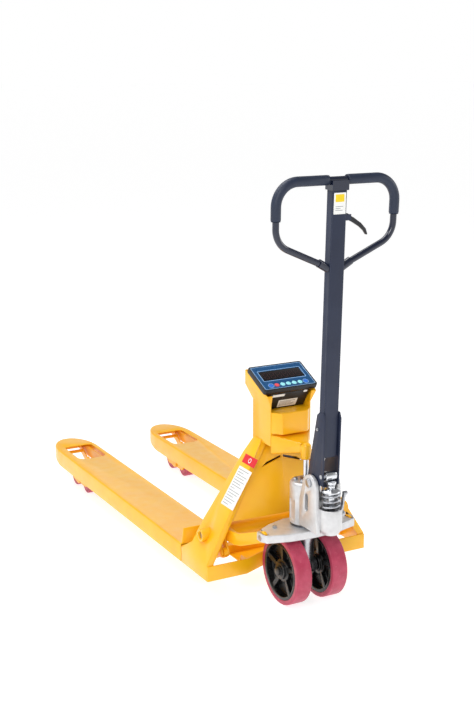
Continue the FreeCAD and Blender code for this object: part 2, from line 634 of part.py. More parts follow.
def pump_ear():
    """Left ear: round over the tiller's hinge, with a long slot below it."""
    inner = TUBE_WIDTH / 2 + CHEEK + 2
    outer = inner + EAR_THICK
    front, rear, top = PIVOT_Y - 38, -CYLINDER_RADIUS + 12, PIVOT_Z - 14
    low = PUMP_BASE + 8
    outline = [(front - 6, low), (front, BOSS_TOP), (front + 2, top), (PIVOT_Y + 36, top)]
    outline += [(rear, BOSS_TOP + 6), (rear, low)]
    slab_part = side_cut(outline, -outer, -inner)
    slot = strap((PIVOT_Y + 14, GUIDE_TOP), (PIVOT_Y + 14, GUIDE_TOP + 34), 9.0, 8.99, -outer - 1,
                 -inner + 1)
    return joined(slab_part, pin_x(36.0, -outer, -inner, PIVOT_Y, top)).cut(slot)


def pump_fittings():
    """Gland nut, filler plug, release valve plug and two plug screws."""
    gland = post(17.0, CYLINDER_TOP + 6,
                 CYLINDER_TOP + 13).cut(post(PISTON_RADIUS + RUN, CYLINDER_TOP, CYLINDER_TOP + 20))
    plug = hexagon(7.0, CYLINDER_TOP + 6, CYLINDER_TOP + 14, -26.0, 12.0)
    valve = hexagon(6.0, CYLINDER_TOP + 6, CYLINDER_TOP + 16, -22.0, -18.0)
    screw = hexagon(5.0, CYLINDER_TOP + 6, CYLINDER_TOP + 11, 22.0, 20.0)
    side = pin_x(6.0, CUP_RADIUS + 3, CUP_RADIUS + 14, PLUNGER_Y, BOSS_TOP - 22)
    return Part.makeCompound([gland, plug, valve, screw, side])


def hexagon(radius, z0, z1, x, y):
    ring = []
    for i in range(6):
        angle = math.pi * i / 3
        ring.append((x + radius * math.cos(angle), y + radius * math.sin(angle)))
    return plan_cut(ring, z0, z1)


def kingpin():
    """Stub under the pump that turns in the thrust plate and carries the steer axle."""
    stem = post(KINGPIN_RADIUS, STEER_RADIUS - 12, PUMP_BASE)
    eye = pin_x(22.0, -KINGPIN_RADIUS - 4, KINGPIN_RADIUS + 4, 0, STEER_RADIUS)
    groove = post(KINGPIN_RADIUS + 1, 126, 129).cut(post(KINGPIN_RADIUS - 1.5, 125, 130))
    bore = post(PISTON_RADIUS + RUN, BOSS_BOTTOM - ROD_LENGTH - RAISED - 4, PUMP_BASE + 1)
    return joined(stem, eye).cut([groove, bore, pin_x(AXLE_RADIUS, -60, 60, 0, STEER_RADIUS)])


def steer_axle():
    """Axle with a washer and a nut at each end."""
    end = WHEEL_X + STEER_WIDTH / 2
    left = joined(pin_x(17.0, -end - 1.5, -end - 0.5 + 0.2, 0, STEER_RADIUS),
                  pin_x(13.0, -end - 9, -end - 1.5, 0, STEER_RADIUS))
    return joined(pin_x(AXLE_RADIUS, -end - 9, end + 9, 0, STEER_RADIUS), left, mirrored(left))


def tiller_pin():
    reach = TUBE_WIDTH / 2 + CHEEK + 2 + EAR_THICK + 4
    return joined(pin_x(PIVOT_RADIUS, -reach, reach, PIVOT_Y, PIVOT_Z),
                  pin_x(PIVOT_RADIUS + 4, -reach, -reach + 4 - 0.01, PIVOT_Y, PIVOT_Z),
                  pin_x(PIVOT_RADIUS + 4, reach - 4 + 0.01, reach, PIVOT_Y, PIVOT_Z))


def release_lever():
    """Small lever beside the plunger cup that opens the lowering valve."""
    y, z = PLUNGER_Y, BOSS_TOP - 22
    near = CUP_RADIUS + 3 + GAP
    hub = ring_x(9.0, 6.0 + RUN, near, near + 7, y, z)
    arm = strap((y + 2, z + 12), (y - 8, z + 62), 6.0, 5.0, near,
                near + 5).cut(pin_x(6.0 + RUN, 0, 90, y, z))
    knob = pin_x(6.0, near, near + 12, y - 8, z + 62)
    return joined(hub, arm, knob)


def plunger():
    """Plunger rod with its head and the cap that sits on the spring."""
    rod = post(PLUNGER_RADIUS, PLUNGER_TOP - 89, PLUNGER_TOP - 6, 0, PLUNGER_Y)
    head = cone(PLUNGER_RADIUS, PLUNGER_RADIUS + 3.5, PLUNGER_TOP - 12, PLUNGER_TOP - 6, 0, PLUNGER_Y)
    button = post(PLUNGER_RADIUS + 3.5, PLUNGER_TOP - 6, PLUNGER_TOP, 0, PLUNGER_Y)
    cap = joined(post(CUP_RADIUS - 4, PLUNGER_TOP - 30, PLUNGER_TOP - 26, 0, PLUNGER_Y),
                 cone(CUP_RADIUS - 4, 15.0, PLUNGER_TOP - 26, PLUNGER_TOP - 18, 0, PLUNGER_Y))
    return joined(rod, head, button, cap)


def plunger_spring():
    """Return spring in the pump's cup, as stacked rings joined by a thin sleeve."""
    low, high, turns = BOSS_LOW + 8.4, PLUNGER_TOP - 30.4, 7
    step = (high - low - 2 * SPRING_WIRE) / (turns - 1)
    rings = []
    for i in range(turns):
        z = low + SPRING_WIRE + i * step
        rings.append(Part.makeTorus(SPRING_RADIUS, SPRING_WIRE, V(0, PLUNGER_Y, z)))
    sleeve = post(SPRING_RADIUS + 0.5, low + 1, high - 1, 0, PLUNGER_Y)
    sleeve = sleeve.cut(post(SPRING_RADIUS - 0.5, low, high, 0, PLUNGER_Y))
    return joined(sleeve, *rings)


# ---------------------------------------------------------------- tiller body
def leaned(shape):
    """Turns a shape modelled upright over the tiller hinge to the tiller's resting lean."""
    shape = shape.copy()
    shape.rotate(V(0, PIVOT_Y, PIVOT_Z), V(1, 0, 0), TILLER_LEAN)
    return shape


TUBE_Y = PIVOT_Y - TUBE_AHEAD


def tiller_tube():
    """Rectangular tube with the two flared cheeks welded to its foot."""
    half_w, half_d = TUBE_WIDTH / 2, TUBE_DEPTH / 2
    outer = box(-half_w, half_w, TUBE_Y - half_d, TUBE_Y + half_d, TUBE_BOTTOM, TUBE_TOP - 4)
    outer = fillet_where(outer, 4.0, lambda c, e: is_upright(e))
    inner = box(-half_w + TUBE_WALL, half_w - TUBE_WALL, TUBE_Y - half_d + TUBE_WALL,
                TUBE_Y + half_d - TUBE_WALL,
                TUBE_BOTTOM - 1, TUBE_TOP - 8)
    front, rear = TUBE_Y - half_d - 8, TUBE_Y + half_d
    outline = [(front + 8, TUBE_BOTTOM + 128), (front, TUBE_BOTTOM + 112), (front, PIVOT_Z + 1)]
    outline += [(PIVOT_Y - 28, PIVOT_Z + 1), (PIVOT_Y - 24, PIVOT_Z - 30), (PIVOT_Y, PIVOT_Z - 42)]
    outline += [(PIVOT_Y + 20, PIVOT_Z - 35), (PIVOT_Y + 30, PIVOT_Z - 14), (PIVOT_Y + 31, PIVOT_Z + 8)]
    outline += [(rear + 2, TUBE_BOTTOM + 118), (rear - 10, TUBE_BOTTOM + 128)]
    cheek = side_cut(outline, -half_w - CHEEK, -half_w)
    body = joined(outer.cut(inner), cheek, mirrored(cheek))
    stub = joined(cheek_bore(PIVOT_Y, PIVOT_Z, PIVOT_RADIUS + RUN), cheek_bore(press_y(), press_z(), 6.0))
    return leaned(body.cut(stub))


def cheek_bore(y, z, radius):
    return pin_x(radius, -60, 60, y, z)


def press_y():
    return PLUNGER_Y + 11


def press_z():
    return PLUNGER_TOP + PRESS_RADIUS + GAP + 1.4


def press_roller():
    return leaned(ring_x(PRESS_RADIUS, 6.0 + RUN, -17.0, 17.0, press_y(), press_z()))


def press_pin():
    """Pin of the pressing roller, with a bolt head outside each cheek."""
    reach = TUBE_WIDTH / 2 + CHEEK
    return leaned(joined(pin_x(6.0, -reach - 1.2, reach + 1.2, press_y(), press_z())))


def loop_points():
    top = TUBE_Y
    return [(0, top, LOOP_TOP), (LOOP_HALF, top, LOOP_TOP), (LOOP_HALF - 2, top, LOOP_SIDE_LOW),
            (TUBE_WIDTH / 2 + 1, top, LOOP_LOW)]


def handle_loop():
    """Bent handle tube on both sides, with the weld bracket over the tiller's top."""
    right = swept(loop_points(), 62.0, LOOP_RADIUS)
    bracket = box(-TUBE_WIDTH / 2 - 3, TUBE_WIDTH / 2 + 3, TUBE_Y - TUBE_DEPTH / 2 - 3,
                  TUBE_Y + TUBE_DEPTH / 2 + 3,
                  LOOP_TOP - 26, LOOP_TOP - 4)
    bracket = bracket.cut(box(-TUBE_WIDTH / 2, TUBE_WIDTH / 2, TUBE_Y - TUBE_DEPTH / 2,
                              TUBE_Y + TUBE_DEPTH / 2,
                              LOOP_TOP - 27, LOOP_TOP - 3))
    socket = swept([(TUBE_WIDTH / 2, TUBE_Y, LOOP_LOW - 3), (TUBE_WIDTH / 2 + 26, TUBE_Y, LOOP_LOW + 12),
                    (TUBE_WIDTH / 2 + 27, TUBE_Y, LOOP_LOW + 12.5)], 0.5, LOOP_RADIUS + 2.5)
    tube = joined(right, mirrored(right))
    saddle = box(-TUBE_WIDTH / 2 - 3, TUBE_WIDTH / 2 + 3, TUBE_Y - TUBE_DEPTH / 2 - 3,
                 TUBE_Y + TUBE_DEPTH / 2 + 3,
                 LOOP_TOP - 4, LOOP_TOP)
    keep_clear = box(-TUBE_WIDTH / 2, TUBE_WIDTH / 2, TUBE_Y - 15, TUBE_Y + 15, 900, TUBE_TOP - 3.9)
    return leaned(joined(tube, bracket, saddle, socket, mirrored(socket)).cut(keep_clear))


def handle_grip():
    """Moulded sleeve over the top bar and both upper bends."""
    far = (LOOP_HALF - 1, TUBE_Y, GRIP_END)
    points = [(TUBE_WIDTH / 2 + 6, TUBE_Y, LOOP_TOP), (LOOP_HALF, TUBE_Y, LOOP_TOP), far]
    skin = swept(points, 62.0, GRIP_RADIUS)
    core_end = (LOOP_HALF - 1.4, TUBE_Y, GRIP_END - 30)
    core_points = [(TUBE_WIDTH / 2, TUBE_Y, LOOP_TOP), (LOOP_HALF, TUBE_Y, LOOP_TOP), core_end]
    right = skin.cut(swept(core_points, 62.0, LOOP_RADIUS))
    return Part.makeCompound([leaned(right), leaned(mirrored(right))])


LEVER_Y = TUBE_Y
LEVER_X = TUBE_WIDTH / 2 + 8
LEVER_Z = 1126.0


def control_lever():
    """Three-position lever beside the tube: hub, arm and a curved finger."""
    hub = Part.makeCylinder(9.0, 12.0, V(LEVER_X + 2, LEVER_Y - 6, LEVER_Z), V(0, 1, 0))
    top = [(0, 8), (20, -2), (44, -18), (60, -34), (66, -50)]
    low = [(62, -51), (54, -40), (40, -28), (18, -15), (0, -6)]
    arm = front_cut([(LEVER_X + 2 + x, LEVER_Z + z) for x, z in top + low], LEVER_Y - 5, LEVER_Y + 5)
    hole = Part.makeCylinder(4.0 + RUN, 20.0, V(LEVER_X + 2, LEVER_Y - 10, LEVER_Z), V(0, 1, 0))
    return leaned(joined(hub, arm).cut(hole))


def lever_bracket():
    """Fork on the tube that holds the control lever's pin."""
    ears = []
    for y0, y1 in ((LEVER_Y - 10, LEVER_Y - 6.5), (LEVER_Y + 6.5, LEVER_Y + 10)):
        ears.append(box(TUBE_WIDTH / 2, LEVER_X + 10, y0, y1, LEVER_Z - 8, LEVER_Z + 8))
    rivet = Part.makeCylinder(4.0, 20.0, V(LEVER_X + 2, LEVER_Y - 10, LEVER_Z), V(0, 1, 0))
    return leaned(joined(*ears, rivet))


# ---------------------------------------------------------------- wheels
def steer_hub(side):
    """Cast wheel centre: rim, closed web stiffened by five broad spokes, and a stepped boss."""
    x0, x1 = wheel_span(side)
    rim_out = STEER_RADIUS - TREAD
    middle = (x0 + x1) / 2
    rim = ring_x(rim_out, rim_out - 10, x0, x1, 0, STEER_RADIUS)
    web = ring_x(rim_out - 9, 24.0, middle - 2.5, middle + 2.5, 0, STEER_RADIUS)
    boss = joined(ring_x(25.0, AXLE_RADIUS + RUN, x0 + 0.5, x1 - 0.5, 0, STEER_RADIUS),
                  ring_x(34.0, 24.0, x0 + 9, x1 - 9, 0, STEER_RADIUS))
    root, end = 30.0, rim_out - 5
    spokes = []
    for i in range(5):
        spoke = front_cut([(x0 + 9, root), (x0 + 5, end), (x1 - 5, end), (x1 - 9, root)], -7.0, 7.0)
        spoke.rotate(V(0, 0, 0), V(1, 0, 0), 72 * i)
        spoke.translate(V(0, 0, STEER_RADIUS))
        spokes.append(spoke)
    return joined(rim, web, boss, *spokes)


def wheel_span(side):
    middle = side * WHEEL_X
    return middle - STEER_WIDTH / 2, middle + STEER_WIDTH / 2


def steer_tread(side):
    x0, x1 = wheel_span(side)
    ring = ring_x(STEER_RADIUS, STEER_RADIUS - TREAD, x0, x1, 0, STEER_RADIUS)
    return fillet_where(ring, 4.0, lambda c, e: e.BoundBox.ZMax > 2 * STEER_RADIUS - 1)


def load_roller(x, y):
    """Steel hub and polyurethane tread of one load roller, two solids."""
    half = LOAD_WIDTH / 2
    hub = ring_x(LOAD_RADIUS - 9, 8.0 + RUN, x - half, x + half, y, LOAD_RADIUS)
    tread = ring_x(LOAD_RADIUS, LOAD_RADIUS - 9, x - half + 1, x + half - 1, y, LOAD_RADIUS)
    return Part.makeCompound([hub, tread])


def bogie(x):
    """Two side plates, two roller axles and the pin that hangs them in the roller frame."""
    inner = LOAD_WIDTH / 2 + 1.0
    solids = []
    y0, y1 = BOGIE_Y - BOGIE_SPACING / 2, BOGIE_Y + BOGIE_SPACING / 2
    for side in (-1, 1):
        a, b = sorted((x + side * inner, x + side * (inner + 4.5)))
        solids.append(strap((y0, LOAD_RADIUS), (y1, LOAD_RADIUS), 14.0, 13.99, a, b))
    for y in (y0, y1):
        solids.append(pin_x(8.0, x - inner, x + inner, y, LOAD_RADIUS))
    solids.append(pin_x(8.0, x - FRAME_OUTER, x + FRAME_OUTER, BOGIE_Y, LOAD_RADIUS))
    return joined(*solids)


def roller_frame(x):
    """Two plates that swing about the pin at the fork tip, tied by a crosspiece."""
    tip = (FRAME_PIVOT_Y, FRAME_PIVOT_Z)
    low = (BOGIE_Y, LOAD_RADIUS)
    solids = []
    for side in (-1, 1):
        a, b = sorted((x + side * FRAME_INNER, x + side * FRAME_OUTER))
        solids.append(joined(strap(tip, FRAME_PIN, 12.0, 11.0, a, b),
                             strap(FRAME_PIN, low, 11.0, 15.0, a, b)))
        pin_a, pin_b = sorted((x + side * FRAME_INNER, x + side * (BAR_OUTER + 1.5)))
        solids.append(pin_x(6.0, pin_a, pin_b, *FRAME_PIN))
    tie_y, tie_z = FRAME_PIVOT_Y - 24, FRAME_PIVOT_Z - 12
    solids.append(pin_x(6.0, x - FRAME_INNER - 1, x + FRAME_INNER + 1, tie_y, tie_z))
    bores = [pin_x(7.0 + RUN, x - 60, x + 60, *tip), pin_x(8.0 + RUN, x - 60, x + 60, *low)]
    return joined(*solids).cut(bores)


def push_rod(x):
    """Rod from the rocker: one bar to the middle of the fork, then two bars past the rollers."""
    split = BOGIE_Y - 178
    knee = (PLATFORM_Y - 12, ROD_Z)
    bar = bar_path([ROD_PIN, knee, (split, ROD_Z)], 9.0, x - 6, x + 6)
    eye = pin_x(15.0, x - 6, x + 6, *ROD_PIN)
    bars = []
    for side in (-1, 1):
        a, b = sorted((x + side * BAR_INNER, x + side * BAR_OUTER))
        bars.append(bar_path([(split, ROD_Z), (FRAME_PIN[0] - 30, ROD_Z), FRAME_PIN], 8.0, a, b))
        bars.append(pin_x(13.0, a, b, *FRAME_PIN))
    cross = box(x - BAR_OUTER, x + BAR_OUTER, split - 8, split + 8, ROD_Z - 8, ROD_Z + 8)
    rod = joined(bar, eye, cross, *bars)
    return rod.cut([pin_x(8.0 + RUN, x - 20, x + 20, *ROD_PIN), open_pin_hole(x)])


def open_pin_hole(x):
    """The push rod's far eye is loose on its pin by this much, because that joint is left open."""
    return pin_x(6.0 + 3.2, x - 60, x + 60, *FRAME_PIN)


def rocker():
    """Bell crank on the long shaft: sleeve, two front arms to the thrust plate, two rod arms."""
    sleeve = pin_x(22.0, -FORK_X - 13, FORK_X + 13, SHAFT_Y, SHAFT_Z)
    front_y = 72.0
    outer = FORK_X - 10
    side = joined(strap((SHAFT_Y, SHAFT_Z), (front_y, SHAFT_Z + 6), 21.0, 18.0, -outer, -120),
                  strap((front_y, SHAFT_Z + 6), (ARM_PIN_Y, ARM_PIN_Z), 18.0, 16.0, -outer, -120))
    near, far = ARM_X - ARM_THICK / 2, ARM_X + ARM_THICK / 2
    tip, bend = ARM_PIN_Y - 12.5, ARM_PIN_Y + 31
    plan = [(-outer, SHAFT_Y + 25), (-outer, 86), (-far, bend), (-far, tip), (-near, tip),
            (-near, bend + 4)]
    plan += [(12 - outer, 84), (12 - outer, SHAFT_Y + 25)]
    arm = side.common(plan_cut(plan, 100, 300))
    slot = strap((ARM_PIN_Y + 4, ARM_PIN_Z + 0.3), (ARM_PIN_Y - 15, ARM_PIN_Z - 1.6), 10.2, 10.19, -210,
                 -100)
    arm = arm.cut(slot)
    rod_arms = []
    for a, b in ((-FORK_X - 13, -FORK_X - 7), (-FORK_X + 7, -FORK_X + 13)):
        rod_arms.append(strap((SHAFT_Y, SHAFT_Z), ROD_PIN, 20.0, 13.0, a, b))
    rod_pin = pin_x(8.0, -FORK_X - 13, -FORK_X + 13, *ROD_PIN)
    left = joined(arm, rod_pin, *rod_arms)
    return joined(sleeve, left,
                  mirrored(left)).cut(pin_x(SHAFT_RADIUS + RUN, -250, 250, SHAFT_Y, SHAFT_Z))


# ---------------------------------------------------------------- assembly
def build_nodes():
    platform, plate_left = weigh_platform(), side_plate()
    nodes = {
        "weigh_platform_left": platform,
        "weigh_platform_right": mirrored(platform),
        "fork_frame": fork_frame(),
        "load_cells": load_cells(),
        "side_plate_left": plate_left,
        "side_plate_right": mirrored(plate_left),
        "shaft_bosses": shaft_bosses(),
        "rocker_shaft": rocker_shaft(),
        "front_panel": front_panel(),
        "bumper_strip": bumper_strip(),
        "crosshead": crosshead(),
        "piston_rod": piston_rod(),
        "column": column(),
        "battery_cover": battery_cover(),
        "battery": battery(),
        "indicator_panel": indicator_panel(),
        "indicator_housing": indicator_housing(),
        "keypad_overlay": keypad_overlay(),
        "display_window": display_window(),
        "circuit_board": circuit_board(),
        "thrust_plate": thrust_plate(),
        "thrust_pins": thrust_pins(),
        "thrust_bearing": thrust_bearing(),
        "pump_body": pump_body(),
        "pump_fittings": pump_fittings(),
        "kingpin": kingpin(),
        "steer_axle": steer_axle(),
        "tiller_pin": tiller_pin(),
        "release_lever": release_lever(),
        "plunger": plunger(),
        "plunger_spring": plunger_spring(),
        "tiller_tube": tiller_tube(),
        "press_roller": press_roller(),
        "press_pin": press_pin(),
        "handle_loop": handle_loop(),
        "handle_grip": handle_grip(),
        "control_lever": control_lever(),
        "lever_bracket": lever_bracket(),
        "rocker": rocker(),
    }
    for number, x in enumerate(key_places(), 1):
        nodes[f"key_{number}"] = key(x)
    for name, side in (("left", -1), ("right", 1)):
        nodes[f"steer_hub_{name}"] = steer_hub(side)
        nodes[f"steer_tread_{name}"] = steer_tread(side)
        nodes[f"push_rod_{name}"] = push_rod(side * FORK_X)
        nodes[f"roller_frame_{name}"] = roller_frame(side * FORK_X)
        nodes[f"bogie_{name}"] = bogie(side * FORK_X)
        for place, shift in (("rear", -1), ("front", 1)):
            y = BOGIE_Y + shift * BOGIE_SPACING / 2
            nodes[f"load_roller_{name}_{place}"] = load_roller(side * FORK_X, y)
    return nodes


def footprint_shift(nodes):
    """Move that puts the middle of the whole truck's footprint at the origin."""
    bounds = FreeCAD.BoundBox()
    for shape in nodes.values():
        bounds.add(shape.optimalBoundingBox(False))
    return V(-bounds.Center.x, -bounds.Center.y, -bounds.ZMin)


def write_nodes():
    nodes = build_nodes()
    shift = footprint_shift(nodes)
    os.makedirs("parts", exist_ok=True)
    for name, shape in nodes.items():
        shape.translate(shift)
        shape.exportStep(f"parts/{name}.step")
    print(len(nodes), "parts, moved by", [round(c, 3) for c in shift])


write_nodes()
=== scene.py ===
import json
import math

import bpy
from mathutils import Matrix, Vector


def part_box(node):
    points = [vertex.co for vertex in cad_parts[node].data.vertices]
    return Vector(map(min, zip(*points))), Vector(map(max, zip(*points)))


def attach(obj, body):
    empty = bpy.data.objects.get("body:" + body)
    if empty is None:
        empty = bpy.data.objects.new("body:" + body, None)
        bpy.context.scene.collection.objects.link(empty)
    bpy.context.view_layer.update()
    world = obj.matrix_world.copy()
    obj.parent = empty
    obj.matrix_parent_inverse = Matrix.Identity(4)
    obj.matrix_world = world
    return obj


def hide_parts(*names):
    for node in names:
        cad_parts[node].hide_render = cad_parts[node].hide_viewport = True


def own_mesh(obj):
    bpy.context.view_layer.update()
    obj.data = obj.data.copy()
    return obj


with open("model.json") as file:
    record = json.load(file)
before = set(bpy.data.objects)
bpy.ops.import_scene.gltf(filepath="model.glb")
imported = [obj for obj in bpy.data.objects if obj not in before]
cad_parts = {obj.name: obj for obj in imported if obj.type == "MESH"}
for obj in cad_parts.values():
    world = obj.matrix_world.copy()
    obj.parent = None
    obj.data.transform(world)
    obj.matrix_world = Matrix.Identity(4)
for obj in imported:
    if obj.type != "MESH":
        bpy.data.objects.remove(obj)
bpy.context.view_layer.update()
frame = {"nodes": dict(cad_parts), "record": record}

MM = 0.001
RECORD = frame["record"]
BODY_OF = {node: body for body, nodes in RECORD["behaviour"]["bodies"].items() for node in nodes}
SLOT_OF = {part["node"]: part["material_slot"] for part in RECORD["subparts"]}


# ---------------------------------------------------------------- colours and node helper
def srgb(hex_code, alpha=1.0):
    """A hex colour as linear RGBA."""
    channels = [int(hex_code[i:i + 2], 16) / 255 for i in (0, 2, 4)]
    linear = [c / 12.92 if c <= 0.04045 else ((c + 0.055) / 1.055) ** 2.4 for c in channels]
    return (*linear, alpha)


def add(tree, kind, inputs=None, **settings):
    """Adds a node with its settings; inputs are sockets to link or values to set."""
    node = tree.nodes.new(kind)
    for key, value in settings.items():
        setattr(node, key, value)
    for key, value in (inputs or {}).items():
        if isinstance(value, bpy.types.NodeSocket):
            tree.links.new(value, node.inputs[key])
        else:
            node.inputs[key].default_value = value
    return node


def start_material(name):
    """A named material with its shader and the object's own coordinates."""
    material = bpy.data.materials.new(name)
    material.use_nodes = True
    tree = material.node_tree
    shader = tree.nodes["Principled BSDF"]
    coords = add(tree, "ShaderNodeTexCoord").outputs["Object"]
    return material, tree, shader, coords


def noise(tree, coords, size_mm, detail=4.0, roughness=0.5):
    """Noise whose blotches are about size_mm across."""
    scale = 1.0 / (size_mm * MM)
    inputs = {"Vector": coords, "Scale": scale, "Detail": detail, "Roughness": roughness}
    return add(tree, "ShaderNodeTexNoise", inputs).outputs["Fac"]


def span(tree, value, low, high, from_low=0.3, from_high=0.7):
    """Stretches a pattern's middle values to low..high."""
    inputs = {"Value": value, "From Min": from_low, "From Max": from_high, "To Min": low, "To Max": high}
    return add(tree, "ShaderNodeMapRange", inputs).outputs["Result"]


def blend_colours(tree, factor, first, second):
    mix = add(tree, "ShaderNodeMix", data_type="RGBA")
    for socket, value in ((mix.inputs[0], factor), (mix.inputs[6], first), (mix.inputs[7], second)):
        if isinstance(value, bpy.types.NodeSocket):
            tree.links.new(value, socket)
        else:
            socket.default_value = value
    return mix.outputs[2]


def bump(tree, shader, height, depth_mm, strength=1.0, normal=None):
    inputs = {"Height": height, "Distance": depth_mm * MM, "Strength": strength}
    if normal is not None:
        inputs["Normal"] = normal
    out = add(tree, "ShaderNodeBump", inputs).outputs["Normal"]
    tree.links.new(out, shader.inputs["Normal"])
    return out


def paint(name, colour, shade, roughness, peel_mm, peel_depth_mm, coat=0.0, patch_mm=90.0):
    """Sprayed or powder paint: slow colour drift, orange-peel skin and an uneven gloss."""
    material, tree, shader, coords = start_material(name)
    drift = span(tree, noise(tree, coords, patch_mm, 3.0), 0.0, 1.0)
    tree.links.new(blend_colours(tree, drift, srgb(colour), srgb(shade)), shader.inputs["Base Color"])
    gloss = span(tree, noise(tree, coords, patch_mm / 3), roughness - 0.05, roughness + 0.07)
    tree.links.new(gloss, shader.inputs["Roughness"])
    shader.inputs["Coat Weight"].default_value = coat
    shader.inputs["Coat Roughness"].default_value = 0.12
    bump(tree, shader, noise(tree, coords, peel_mm, 2.0), peel_depth_mm)
    return material


def powder_coat_yellow():
    """Yellow-orange powder coat: satin gloss with a fine orange-peel skin, drawn twice its size to show."""
    return paint("powder_coat_yellow_satin", "FFC012", "FDB60A", 0.34, 3.0, 0.025, coat=0.25)


def slate_paint():
    """Dark blue-grey spray paint of the tiller: satin, slightly dusty."""
    return paint("sprayed_slate_paint_satin", "1D2740", "19223A", 0.46, 2.4, 0.04)


def black_gloss_paint():
    """Black stoved paint of the bent handle tube: bright lines of light along its curve."""
    return paint("stoved_black_paint_gloss", "0B142C", "0D172F", 0.2, 3.0, 0.02, coat=0.5)


def black_enamel():
    """Black enamel on the cast wheel centres: glossy on a slightly grainy casting."""
    return paint("black_enamel_on_casting", "040506", "08090B", 0.3, 2.0, 0.08, coat=0.2, patch_mm=25.0)


def grip_vinyl():
    """Dipped vinyl of the grip: soft sheen and a fine pebble grain."""
    return paint("dipped_vinyl_grip", "1E2940", "1A2439", 0.48, 1.4, 0.08, patch_mm=30.0)


def moulded_abs():
    """Black spark-eroded ABS: fine, even grain that spreads the highlights."""
    return paint("spark_grained_black_abs", "15161A", "1B1C21", 0.48, 0.9, 0.06, patch_mm=20.0)


def cast_silver():
    """Silver lacquer over an iron casting: sand-cast grain under metallic paint, with a slow drift in its
    grey.
    """
    material, tree, shader, coords = start_material("silver_lacquer_on_sand_casting")
    drift = span(tree, noise(tree, coords, 18.0), 0.0, 1.0)
    tree.links.new(blend_colours(tree, drift, srgb("DEDEDF"), srgb("D0D0D1")), shader.inputs["Base Color"])
    shader.inputs["Metallic"].default_value = 0.6
    tree.links.new(span(tree, noise(tree, coords, 7.0), 0.34, 0.5), shader.inputs["Roughness"])
    coarse = bump(tree, shader, noise(tree, coords, 5.0, 3.0), 0.22)
    bump(tree, shader, noise(tree, coords, 1.2, 2.0), 0.08, normal=coarse)
    return material


def metal(name, colour, shade, roughness, grain_mm, depth_mm):
    """Bare or plated metal: fine grain in its roughness and skin."""
    material, tree, shader, coords = start_material(name)
    drift = span(tree, noise(tree, coords, grain_mm * 8), 0.0, 1.0)
    tree.links.new(blend_colours(tree, drift, srgb(colour), srgb(shade)), shader.inputs["Base Color"])
    shader.inputs["Metallic"].default_value = 1.0
    gloss = span(tree, noise(tree, coords, grain_mm), roughness - 0.04, roughness + 0.08)
    tree.links.new(gloss, shader.inputs["Roughness"])
    bump(tree, shader, noise(tree, coords, grain_mm, 2.0), depth_mm)
    return material


def zinc_plate():
    """Bright zinc plate on turned steel: cool grey with faint cloudy patches."""
    return metal("bright_zinc_plate", "C6C8CC", "A9ACB2", 0.28, 2.0, 0.03)


def hard_chrome():
    """Ground and polished hard chrome: a near mirror with a little haze."""
    return metal("polished_hard_chrome", "E4E6EA", "D4D7DC", 0.17, 1.5, 0.01)


def ground_steel():
    """Ground bearing steel: darker than zinc, with a soft shine."""
    return metal("ground_bearing_steel", "9DA0A6", "85888E", 0.26, 1.2, 0.03)


def anodised_aluminium():
    """Clear anodised aluminium of the load cells: pale grey satin."""
    return metal("clear_anodised_aluminium", "C9CBCE", "BCBEC2", 0.36, 1.0, 0.02)


def polyurethane():
    """Cast crimson polyurethane: waxy, slightly cloudy, with pale scuffs where it rolls."""
    material, tree, shader, coords = start_material("cast_crimson_polyurethane")
    cloud = span(tree, noise(tree, coords, 22.0), 0.0, 1.0)
    body = blend_colours(tree, cloud, srgb("AE3450"), srgb("BE4561"))
    scuff = span(tree, noise(tree, coords, 9.0, 6.0, 0.65), 0.0, 0.4, 0.6, 0.78)
    tree.links.new(blend_colours(tree, scuff, body, srgb("D48C9C")), shader.inputs["Base Color"])
    tree.links.new(span(tree, noise(tree, coords, 6.0), 0.32, 0.5), shader.inputs["Roughness"])
    shader.inputs["Subsurface Weight"].default_value = 0.12
    shader.inputs["Subsurface Radius"].default_value = (0.004, 0.0012, 0.0015)
    bump(tree, shader, noise(tree, coords, 3.0), 0.08)
    return material


def plain_plastic(name, colour, shade, roughness, grain_mm=3.0, coat=0.0):
    """Small moulded or printed plastic piece: one colour with a faint cloud and grain."""
    return paint(name, colour, shade, roughness, grain_mm, 0.015, coat=coat, patch_mm=12.0)


def smoked_acrylic():
    """Smoked acrylic display window: almost black, polished."""
    return plain_plastic("smoked_acrylic_window", "060506", "090607", 0.14, coat=0.2)


FINISHES = {
    "powder_coat_yellow": powder_coat_yellow(),
    "dark_paint": slate_paint(),
    "black_paint": black_gloss_paint(),
    "wheel_black": black_enamel(),
    "grip_black": grip_vinyl(),
    "case_black": moulded_abs(),
    "cast_silver": cast_silver(),
    "zinc_steel": zinc_plate(),
    "chrome": hard_chrome(),
    "bearing_steel": ground_steel(),
    "cell_aluminium": anodised_aluminium(),
    "polyurethane_red": polyurethane(),
    "overlay_blue": plain_plastic("printed_polyester_blue", "034C80", "044675", 0.3, coat=0.2),
    "window_dark": smoked_acrylic(),
    "board_green": plain_plastic("solder_mask_green", "1B6B3A", "155A30", 0.35),
    "battery_grey": plain_plastic("abs_battery_case", "3A3B3E", "333437", 0.5),
    "key_cyan": plain_plastic("silicone_key_pale_cyan", "8FE3EC", "A5EBF1", 0.4),
    "key_red": plain_plastic("silicone_key_red", "EC5560", "E3454F", 0.4),
    "key_blue": plain_plastic("silicone_key_blue", "2A72D8", "2468CB", 0.4),
}
PAPER = plain_plastic("coated_label_paper", "F4F4F1", "ECECE8", 0.45)
INK = plain_plastic("grey_label_ink", "A9A9AC", "9C9CA0", 0.5)
RED_LABEL = plain_plastic("red_vinyl_label", "E0202C", "D81C28", 0.4)
YELLOW_LABEL = plain_plastic("yellow_vinyl_label", "F2D21B", "ECCB12", 0.4)
PALE_PRINT = plain_plastic("pale_blue_print", "A9D4FF", "9CCBFA", 0.4)
